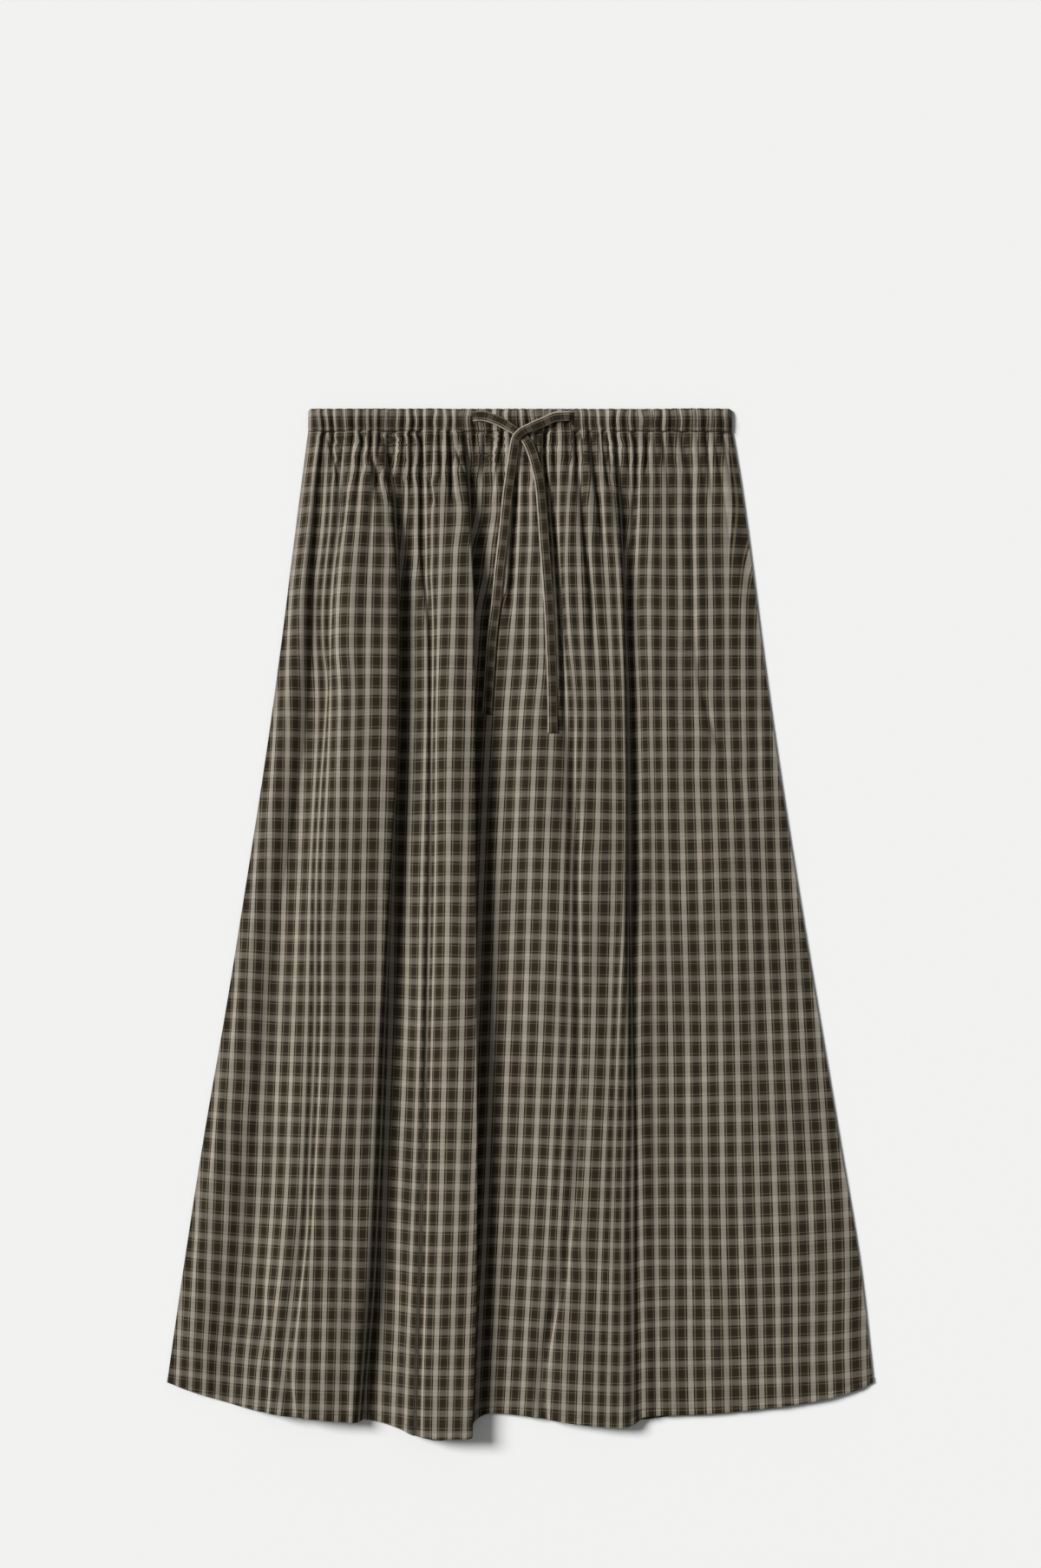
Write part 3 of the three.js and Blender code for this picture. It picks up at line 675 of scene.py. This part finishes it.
# %% [markdown]
# Where the stripes lie is read off the photo as a chart of places in millimetres. Each row is a distance
# down, and each column is one light stripe of the warp, counted from the first valley, with its place
# across. A panel is cut with slanted sides out of straight cloth, so at the side seams stripes come in
# one after another towards the hem. The first two columns say which stripe each side seam cuts.

# %% Chart of the light stripes
STRIPES = (-8, -6, -3, 2, 4, 6, 10, 14, 16, 18, 22, 24, 28)
STRIPE_LINES = [dict(zip(("down", "left_seam", "right_seam") + STRIPES, row)) for row in (
    (0, -10.1, 28.5, -156.5, -143, -117, -78, -62, -43.5, 0.5, 32, 50, 64.5, 98, 117, 168),
    (71, -10.1, 28.5, -160, -148, -120.5, -76.5, -64, -40, -1, 31, 47, 68, 96, 117, 167),
    (139, -10.3, 29.8, -167, -154, -122.5, -76, -66, -40, -4.5, 33.5, 48.5, 72, 93.5, 117, 168),
    (221, -11.2, 30.7, -165, -154.5, -124, -76.5, -68, -42, -11, 38, 52.5, 75.5, 96.5, 117, 168.5),
    (344, -12.4, 32.0, -170, -159.5, -127, -79.5, -69, -45, -17.5, 34.5, 48.5, 76, 98, 119, 173),
    (480, -13.8, 33.2, -173.5, -161.5, -129, -82.5, -72, -47.5, -22.5, 29.5, 48.5, 72, 96.5, 122.5, 176.5),
    (617, -15.2, 34.2, -179, -168, -133.5, -87.5, -75.5, -52, -28, 22.5, 41.5, 66, 98, 123.5, 179),
    (726, -16.3, 35.2, -190.5, -171.5, -136, -91.5, -79, -55.5, -33.5, 16, 36.5, 62, 100, 124, 182),
    (775, -16.8, 35.5, -196, -173, -137.5, -93, -80, -57, -35.5, 13, 35, 60.5, 100.5, 125, 183),
)]
waist, hem = (row["right_seam"] - row["left_seam"] for row in (STRIPE_LINES[0], STRIPE_LINES[-1]))
print(f"cloth at the waist {waist * WARP_REPEAT:.0f} mm, at the hem {hem * WARP_REPEAT:.0f} mm")

# %% [markdown]
# Front panel. The rows are close together at the casing, where the gathers are, and at the hem, which
# is turned under once, 5 mm wide. The columns follow the valleys. Afterwards each vertex learns where it
# is in the flat cloth: across by the chart of stripes, down by its distance from the casing.

# %% Rows and columns of the front
VALLEYS = ("left", "dip", "first", "second", "third", "right")
HEM_START = HEM_LINE - 1
FRONT_ROWS = np.concatenate([
    np.linspace(0, 60, 37)[:-1], np.linspace(60, 250, 45)[:-1],
    np.linspace(250, HEM_START, 82)[:-1], np.linspace(HEM_START, SIDE_LENGTH, 8),
])


def columns_across(down):
    """Places across for every column: they follow the valleys, and are closest together near them."""
    share = []
    for place, fold in enumerate(FOLDS):
        q = np.arange(fold["columns"]) / fold["columns"]
        share.append(place + 0.6 * q + 0.4 * (0.5 - 0.5 * np.cos(np.pi * q)))
    share = np.concatenate(share + [[len(FOLDS)]])
    lines = np.stack([section(key, down) for key in VALLEYS], axis=-1)
    return np.array([np.interp(share, np.arange(len(FOLDS) + 1), line) for line in lines])


front_x = columns_across(FRONT_ROWS)
front_down = FRONT_ROWS[:, None] * np.ones((1, front_x.shape[1]))
print("front grid:", front_x.shape[0], "rows,", front_x.shape[1], "columns")


# %% Turned hem
TURN_SOFT = 0.8
HEM_WEFT = np.array([[0.4], [1.0], [3.5], [6.0]])


def hem_relief(down):
    """A narrow turned hem: thicker cloth below the line of stitches, which sink in a little."""
    return 0.45 * ease(down, HEM_LINE, HEM_LINE + TURN_SOFT) - 0.3 * np.exp(-((down - HEM_LINE) / 0.6) ** 2)


def turned_under(places, depth, wide):
    """Rows that carry a hem's edge round and back underneath."""
    edge = places[-1]
    inner = places[-4]
    rows = []
    for out, under in ((0.35, 0.35), (0.2, 0.8), (-0.5 * wide, depth), (-wide, depth)):
        row = edge.copy() if out > -1 else edge + (inner - edge) * (-out / np.abs(edge - inner)[:, 1:2])
        row[:, 1] -= max(out, 0)
        row[:, 2] = np.maximum(row[:, 2] - under, 0.2)
        rows.append(row)
    return np.concatenate([places, np.array(rows)])


# %% Stripes in the cloth
def stripes_across(places, down):
    """How far across the warp each vertex is: the chart's light stripes are where the cloth shows them."""
    run = run_across(places, stretch=1.7)
    warp = np.zeros_like(run)
    for row, place in enumerate(down[:, 0]):
        seen = np.maximum.accumulate(places[row, :, 0]) + 1e-6 * np.arange(run.shape[1])
        charted = {key: float(along(STRIPE_LINES, "down", key, place)) for key in STRIPE_LINES[0]}
        lines = [charted[number] for number in STRIPES]
        marks = np.concatenate([[0], np.interp(lines, seen, run[row]), run[row, -1:]])
        numbers = [charted["left_seam"], *STRIPES, charted["right_seam"]]
        warp[row] = WARP_REPEAT * np.interp(run[row], marks, numbers)
    return warp


def weft_down(y, down):
    """How far down the cloth each vertex is: partly by its place on the page, partly by its row."""
    return 0.6 * (PANEL_TOP - y) + 0.4 * 1.03 * down


front_grid = front_surface(front_x, front_down)
front_grid[..., 2] += hem_relief(front_down)
front_warp = stripes_across(front_grid, front_down)
front_weft = weft_down(front_grid[..., 1], front_down) + 0.12 * front_grid[..., 2]
front_weft += 0.8 * soft_noise(front_grid[..., 0], front_grid[..., 1], wide=40, long=60, seed=41)
print(f"stripes {front_warp[-1, 0] / WARP_REPEAT:.1f} to {front_warp[-1, -1] / WARP_REPEAT:.1f} at the hem")

# %% Front panel
HEM_DEPTH = 0.9
warp = np.concatenate([front_warp, np.repeat(front_warp[-1:], len(HEM_WEFT), axis=0)])
weft = np.concatenate([front_weft, front_weft[-1:] + HEM_WEFT])
front = cloth_mesh("front_panel_cloth", turned_under(front_grid, HEM_DEPTH, HEM_TURN), warp, weft)
front.data.materials.append(front_cloth)

# %% [markdown]
# Back panel. It lies flat and carries the rest, so its folds are pressed down to faint creases, and its
# hem is turned to the inside, which shows where it peeps out below the second fold.

# %% Back panel
BACK_COLUMNS = 190
BACK_SHIFT = 4.0
BACK_ROWS = np.concatenate([
    np.linspace(0, 60, 31)[:-1], np.linspace(60, HEM_START, 150)[:-1],
    np.linspace(HEM_START, SIDE_LENGTH, 9),
])
fraction = np.linspace(0, 1, BACK_COLUMNS + 1)
down = BACK_ROWS[:, None] * np.ones((1, BACK_COLUMNS + 1))
wide = section("right", down) - section("left", down)
x = section("left", down) + wide * fraction
y = place_down(BACK_HEM, x, down)
inside = ease(np.minimum(fraction, 1 - fraction) * wide, 0, 10)
pressed = 0.28 * gather_height(np.broadcast_to(fraction, x.shape), down)
pressed += 0.35 * np.abs(soft_noise(x, down, wide=22, long=260, seed=51)) ** 0.5 * ease(down, 20, 140)
turned = 0.3 * ease(down, HEM_LINE, HEM_LINE + TURN_SOFT)
z = BACK_BASE + 0.45 * inside * np.clip(pressed, 0, 1) + turned
back_grid = np.stack([x, y, z], axis=-1)
spread = 1.15 + 0.35 * (1 - ease(down, 0, 300))
back = cloth_mesh("back_panel_cloth", back_grid, spread * x + BACK_SHIFT, weft_down(y, down))
back.data.materials.append(back_cloth)

# %% [markdown]
# The casing. Cloth is folded over an elastic and gathered hard, so it puffs between its two lines of
# stitches, and its top edge is a little wavy. The front half rolls over the top edge and meets the back
# half, which lies flat under it. Its stripes are the panel's own stripes, carried on.

# %% Casing, front half
BAND_STATIONS = 430
BAND_WEFT = -3.2
BAND_PROFILE = [
    (-0.2, 2.6, 0.1), (-1.3, 3.9, 0.4), (-1.1, 5.3, 0.7), (0.3, 6.1, 0.9), (1.8, 5.1, 0.6),
    (3.2, 5.9, 0.95), (5.5, 6.3, 1.0), (8, 6.5, 0.95), (10.5, 6.4, 0.95), (13, 6.1, 1.0), (15, 5.5, 1.0),
    (16.3, 4.7, 0.9), (17.0, 3.9, 0.7), (17.3, 3.1, 0.5), (17.3, 2.4, 0.2), (17.0, 1.9, 0.0),
]
fraction = np.linspace(0, 1, BAND_STATIONS + 1)
x = -BAND_HALF + 2 * BAND_HALF * fraction
end = ease(BAND_HALF - np.abs(x), 0, 7)
ridges = gather(fraction, GATHERS, GATHER_SEED) - 0.6
corner = np.clip((np.abs(x) - BAND_HALF + 3.5) / 3.5, 0, 1)
rounded = 2.6 * (1 - np.sqrt(1 - corner**2))
wavy = 0.45 * soft_noise(x, 0 * x, wide=26, long=9, seed=62)
rows = []
for up, height, wave in BAND_PROFILE:
    tall = up / BAND_HEIGHT
    wander = soft_noise(x, np.full_like(x, up), wide=9, long=9, seed=61)
    y = SEAM_Y + up + 0.9 * ridges * wave * (tall > 0.9) * end - rounded * tall
    y = y + wavy * tall
    z = FRONT_BASE + (height - FRONT_BASE) * (0.25 + 0.75 * end)
    z = z + (2.4 * ridges * wave + 0.4 * wander * wave) * end
    slant = 1.5 * soft_noise(x, np.full_like(x, up), wide=16, long=12, seed=63) * tall * end
    rows.append(np.stack([x + 0.8 * wander * wave * end + slant, y, np.maximum(z, FRONT_BASE)], axis=-1))
band_grid = np.array(rows)
panel_top = (front_x[0] + BAND_HALF) / (2 * BAND_HALF)
warp = np.broadcast_to(np.interp(fraction, panel_top, front_warp[0]), band_grid.shape[:2])
band_weft = np.array([BAND_WEFT - up for up, _, _ in BAND_PROFILE])
weft = np.broadcast_to(band_weft[:, None], band_grid.shape[:2])
band_front = cloth_mesh("waistband_front_cloth", band_grid[::-1], warp[::-1], weft[::-1])
band_front.data.materials.append(casing_cloth)

# %% Casing, back half
BACK_STRETCH = 1.5
BACK_PROFILE = [
    (0.0, 1.5), (0.0, 0.6), (0.8, 0.25), (2.4, 0.35), (3.4, 0.2), (8, 0.15), (13, 0.2), (15.6, 0.3),
    (16.8, 0.8), (17.2, 1.5), (17.0, 2.0),
]
rows = []
for up, height in BACK_PROFILE:
    tall = up / BAND_HEIGHT
    press = 0.22 * gather(fraction, GATHERS, seed=71)
    y = SEAM_Y + up + wavy * tall - rounded * tall
    rows.append(np.stack([x, y, height + press * end * (0.2 < tall) * (tall < 0.95)], axis=-1))
back_band_grid = np.array(rows)
band_weft = np.array([BAND_WEFT - up for up, _ in BACK_PROFILE])
weft = np.broadcast_to(band_weft[:, None], back_band_grid.shape[:2])
warp = np.broadcast_to(BACK_STRETCH * x + BACK_SHIFT, back_band_grid.shape[:2])
band_back = cloth_mesh("waistband_back_cloth", back_band_grid, warp, weft)
band_back.data.materials.append(casing_cloth)

# %% [markdown]
# The tape. Its section is a thin rounded rectangle that turns with the cloth under it, draws in where
# the knot pulls it together, and wavers a little, because a limp tape never lies quite straight.

# %% Cloth under the tapes
TILT_REACH = 4.0
MOST_TILT = 0.35


def down_at(y):
    """Distance down the side seam that lies at a height on the page."""
    return np.clip((PANEL_TOP - y) / (PANEL_TOP - HEM_MIDDLE) * SIDE_LENGTH, 0, SIDE_LENGTH)


def surface_tilt(x, y):
    """How much the front slopes across at a place, by its own folds and creases."""
    down = down_at(y)
    left_side, right_side = (front_surface(x + reach, down)[..., 2] for reach in (-TILT_REACH, TILT_REACH))
    slope = (right_side - left_side) / (2 * TILT_REACH)
    return np.clip(slope, -MOST_TILT, MOST_TILT) * ease(down, 15, 60)


def height_under(x, y):
    """Highest place of the front's cloth under a tape at each place."""
    spots = [front_surface(x + side, down_at(y))[..., 2] for side in (-3.5, -1.8, 0, 1.8, 3.5)]
    return np.max(spots, axis=0)


# %% Drawstring tapes
TAPE_SECTION = [
    (1, 0.3), (0.95, 0.85), (0.72, 1.15), (0, 0.8), (-0.72, 1.15), (-0.95, 0.85), (-1, 0.3),
    (-1, -0.35), (-0.94, -0.9), (0, -1), (0.94, -0.9), (1, -0.35),
]
TAPE_MIDDLE = 8.65
TAPE_SPREAD = 5.3
LEFT_SLIT = [(-41.0, 413.0, 3.6), (-38.2, 413.3, 5.6)]
RIGHT_SLIT = [(45.5, 413.3, 3.6), (42.8, 413.4, 5.8)]


def settled(line):
    """Let the loose end of a tape down until it lies on the cloth."""
    line = line.copy()
    lying = height_under(line[:, 0], line[:, 1]) + 0.5 * TAPE_THICK + 0.1
    lying = np.convolve(np.pad(lying, 6, mode="edge"), np.ones(13) / 13, mode="valid")
    free = ease(KNOT[1] - line[:, 1], 14, 40)
    line[:, 2] += free * (np.minimum(lying, line[:, 2] + 0.3) - line[:, 2])
    return line


def tape(name, line, inside, seed):
    """A tape along its line, after a short stretch that comes up out of its slit."""
    line = np.concatenate([smooth_line([*inside, tuple(line[0])], 9)[0][:-1], settled(line)])
    tangent = np.gradient(line, axis=0)
    tangent /= np.linalg.norm(tangent, axis=1)[:, None]
    tilt = surface_tilt(line[:, 0], line[:, 1])
    tilt = tilt + 0.08 * soft_noise(line[:, 1], 0 * line[:, 1], wide=22, long=1, seed=seed)
    side = np.cross(tangent, [0, 0, 1])
    side /= np.linalg.norm(side, axis=1)[:, None]
    side[:, 2] = tilt * np.sign(side[:, 0])
    side /= np.linalg.norm(side, axis=1)[:, None]
    normal = np.cross(side, tangent)
    drawn = 1 - ease(np.linalg.norm(line[:, :2] - KNOT, axis=1), 5, 16)
    half = TAPE_WIDTH / 2 * (1 - 0.14 * drawn)
    thick = TAPE_THICK / 2 * (1 + 0.5 * drawn)
    run = np.concatenate([[0], np.cumsum(np.linalg.norm(np.diff(line, axis=0), axis=1))])
    ring = [line + side * (half * a)[:, None] + normal * (thick * b)[:, None] for a, b in TAPE_SECTION]
    places = np.stack(ring, axis=1)
    around = np.array([a for a, _ in TAPE_SECTION[:7]] + [-1.1, -1, 0, 1, 1.1])
    warp = np.broadcast_to(TAPE_MIDDLE + TAPE_SPREAD * around, places.shape[:2])
    weft = np.broadcast_to(run[:, None] + seed, places.shape[:2])
    piece = cloth_mesh(name, places, warp.copy(), weft.copy(), closed=True)
    sides = len(TAPE_SECTION)
    last = (len(line) - 1) * sides
    shape = bmesh.new()
    shape.from_mesh(piece.data)
    shape.verts.ensure_lookup_table()
    for ends in (range(sides), range(last + sides - 1, last - 1, -1)):
        shape.faces.new([shape.verts[i] for i in ends])
    bmesh.ops.recalc_face_normals(shape, faces=shape.faces)
    shape.to_mesh(piece.data)
    shape.free()
    piece.data.materials.append(tape_cloth)
    return piece, line, run[-1]


tape_left, left_line, left_length = tape("drawstring_left_tape", left_line, LEFT_SLIT, seed=81)
tape_right, right_line, right_length = tape("drawstring_right_tape", right_line, RIGHT_SLIT, seed=90)
print(f"left tape {left_length:.0f} mm, right tape {right_length:.0f} mm, slits included")

# %% [markdown]
# Sewing. One stitch is a short capsule of thread whose ends dip into the cloth. A row of them is one mesh,
# made from arrays: the places come from the cloth's own grid, so the thread follows every fold. There is
# a row along both hems, one along the lower edge of the casing, and a ring round each slit.

# %% Thread
thread = bpy.data.materials.new("Sewing thread and painted shade")
thread.use_nodes = True
thread_shader = thread.node_tree.nodes["Principled BSDF"]
twist = thread.node_tree.nodes.new("ShaderNodeTexNoise")
twist.inputs["Scale"].default_value = 900
# The thread's tones are very dark. This is partly the thread's own colour and partly painted shade, so that
# the row along the casing's lower edge also draws the shadow line under the casing.
THREAD_AND_SHADE_TONES = [(0.3, (0.018, 0.014, 0.010)), (0.7, (0.050, 0.041, 0.030))]
thread_and_shade_tone = ramp(thread.node_tree, twist.outputs["Fac"], THREAD_AND_SHADE_TONES)
thread.node_tree.links.new(thread_and_shade_tone, thread_shader.inputs["Base Color"])
thread_shader.inputs["Roughness"].default_value = 0.7
print("thread:", thread.name)

# %% One row of stitches as a mesh
STITCH_SIDES = 6
STITCH_RINGS = [(-0.5, 0.3, -0.9), (-0.32, 0.9, 0.1), (0, 1.0, 0.35), (0.32, 0.9, 0.1), (0.5, 0.3, -0.9)]


def stitch_row(name, centres, along_row, long, thick):
    """Stitches of one length at many places, each lying along its own direction, as one mesh."""
    along_row = along_row / np.linalg.norm(along_row, axis=1)[:, None]
    side = np.cross([0, 0, 1], along_row)
    side /= np.linalg.norm(side, axis=1)[:, None]
    up = np.cross(along_row, side)
    turn = 2 * np.pi * np.arange(STITCH_SIDES) / STITCH_SIDES
    points = []
    for place, size, lift in STITCH_RINGS:
        middle = centres + along_row * (place * long) + up * (lift * thick)
        for angle in turn:
            points.append(middle + size * 0.5 * thick * (np.cos(angle) * side + np.sin(angle) * up))
    points = np.stack(points, axis=1)
    faces = []
    for ring in range(len(STITCH_RINGS) - 1):
        for k in range(STITCH_SIDES):
            a = ring * STITCH_SIDES + k
            b = ring * STITCH_SIDES + (k + 1) % STITCH_SIDES
            faces.append((a, b, b + STITCH_SIDES, a + STITCH_SIDES))
    start = tuple(range(STITCH_SIDES - 1, -1, -1))
    end = tuple((len(STITCH_RINGS) - 1) * STITCH_SIDES + k for k in range(STITCH_SIDES))
    faces += [start, end]
    each = points.shape[1]
    mesh = bpy.data.meshes.new(name)
    all_faces = [tuple(v + n * each for v in face) for n in range(len(centres)) for face in faces]
    mesh.from_pydata((points.reshape(-1, 3) * MM).tolist(), [], all_faces)
    mesh.polygons.foreach_set("use_smooth", [True] * len(mesh.polygons))
    mesh.materials.append(thread)
    piece = bpy.data.objects.new(name, mesh)
    scene.collection.objects.link(piece)
    print(f"{name}: {len(centres)} stitches")
    return piece


def spaced(line, pitch, lift):
    """Centres and directions of stitches at an even pitch along a line of places."""
    run = np.concatenate([[0], np.cumsum(np.linalg.norm(np.diff(line, axis=0), axis=1))])
    at = np.arange(pitch, run[-1] - pitch, pitch)

    def spot(r):
        return np.stack([np.interp(r, run, line[:, k]) for k in range(3)], axis=-1)

    return spot(at) + np.array([0, 0, lift]), spot(at + 1) - spot(at - 1)


# %% Hems and casing sewn down
STITCH_LONG = 2.3
STITCH_PITCH = 3.0
STITCH_THICK = 0.3
CASING_ROW = 4
BACK_CASING_ROW = 3


def seam(name, line, lift):
    """Running stitches along a line of places, a little above it."""
    return stitch_row(name, *spaced(line, STITCH_PITCH, lift), STITCH_LONG, STITCH_THICK)


def hem_row(rows):
    """The row of a panel that lies nearest to its line of stitches."""
    return int(np.argmin(np.abs(rows - HEM_LINE)))


front_hem = seam("front_hem_stitches", front_grid[hem_row(FRONT_ROWS)], lift=0.1)
back_hem = seam("back_hem_stitches", back_grid[hem_row(BACK_ROWS)], lift=0.05)
# The dark row along the casing's lower edge also stands for the shadow line under the casing: painted
# shade.
casing_seam_and_painted_shade = seam("casing_stitches_and_painted_shade", band_grid[CASING_ROW], lift=0.1)
casing_back_seam = seam("casing_back_stitches", back_band_grid[BACK_CASING_ROW], lift=0)


# %% Slits with their buttonhole stitches
SLIT_TALL = 10.5
SLIT_HALF = 1.1
SLIT_COUNT = 44
SLIT_LONG = 1.5
SLIT_THICK = 0.42
LEFT_SLIT_AT = (-37.2, 412.6)
RIGHT_SLIT_AT = (41.8, 412.4)


def slit_stitches(name, middle):
    """Close stitches across the edge of an upright slit, lying on the casing."""
    x, y = middle
    turn = 2 * np.pi * np.arange(SLIT_COUNT) / SLIT_COUNT
    ring = np.stack([x + SLIT_HALF * np.cos(turn), y + 0.5 * SLIT_TALL * np.sin(turn)], axis=-1)
    flat = band_grid.reshape(-1, 3)
    nearest = []
    for px, py in ring:
        away = (flat[:, 0] - px) ** 2 + (flat[:, 1] - py) ** 2
        nearest.append(np.argmin(away - 0.5 * flat[:, 2]))
    centres = np.concatenate([ring, flat[nearest, 2:3] + 0.12], axis=1)
    outward = np.stack([np.cos(turn), 0.35 * np.sin(turn), 0 * turn], axis=-1)
    return stitch_row(name, centres, outward, SLIT_LONG, SLIT_THICK)


slit_left = slit_stitches("slit_left_stitches", LEFT_SLIT_AT)
slit_right = slit_stitches("slit_right_stitches", RIGHT_SLIT_AT)

# %% [markdown]
# Every piece is tied to the one body, and the sheets and tapes hide the solids they stand for.

for piece, node, finish in (
    (front, "front_panel", "cloth_front"), (back, "back_panel", "cloth_back"),
    (band_front, "waistband_front", "waistband"), (band_back, "waistband_back", "waistband"),
    (tape_left, "drawstring_left", "drawstring"), (tape_right, "drawstring_right", "drawstring"),
):
    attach(piece, "root")
    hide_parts(node)

for piece, finish in (
    (front_hem, "cloth_front"), (back_hem, "cloth_back"), (casing_seam_and_painted_shade, "waistband"),
    (casing_back_seam, "waistband"), (slit_left, "waistband"), (slit_right, "waistband"),
):
    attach(piece, "root")

# %% Update the scene
bpy.context.view_layer.update()
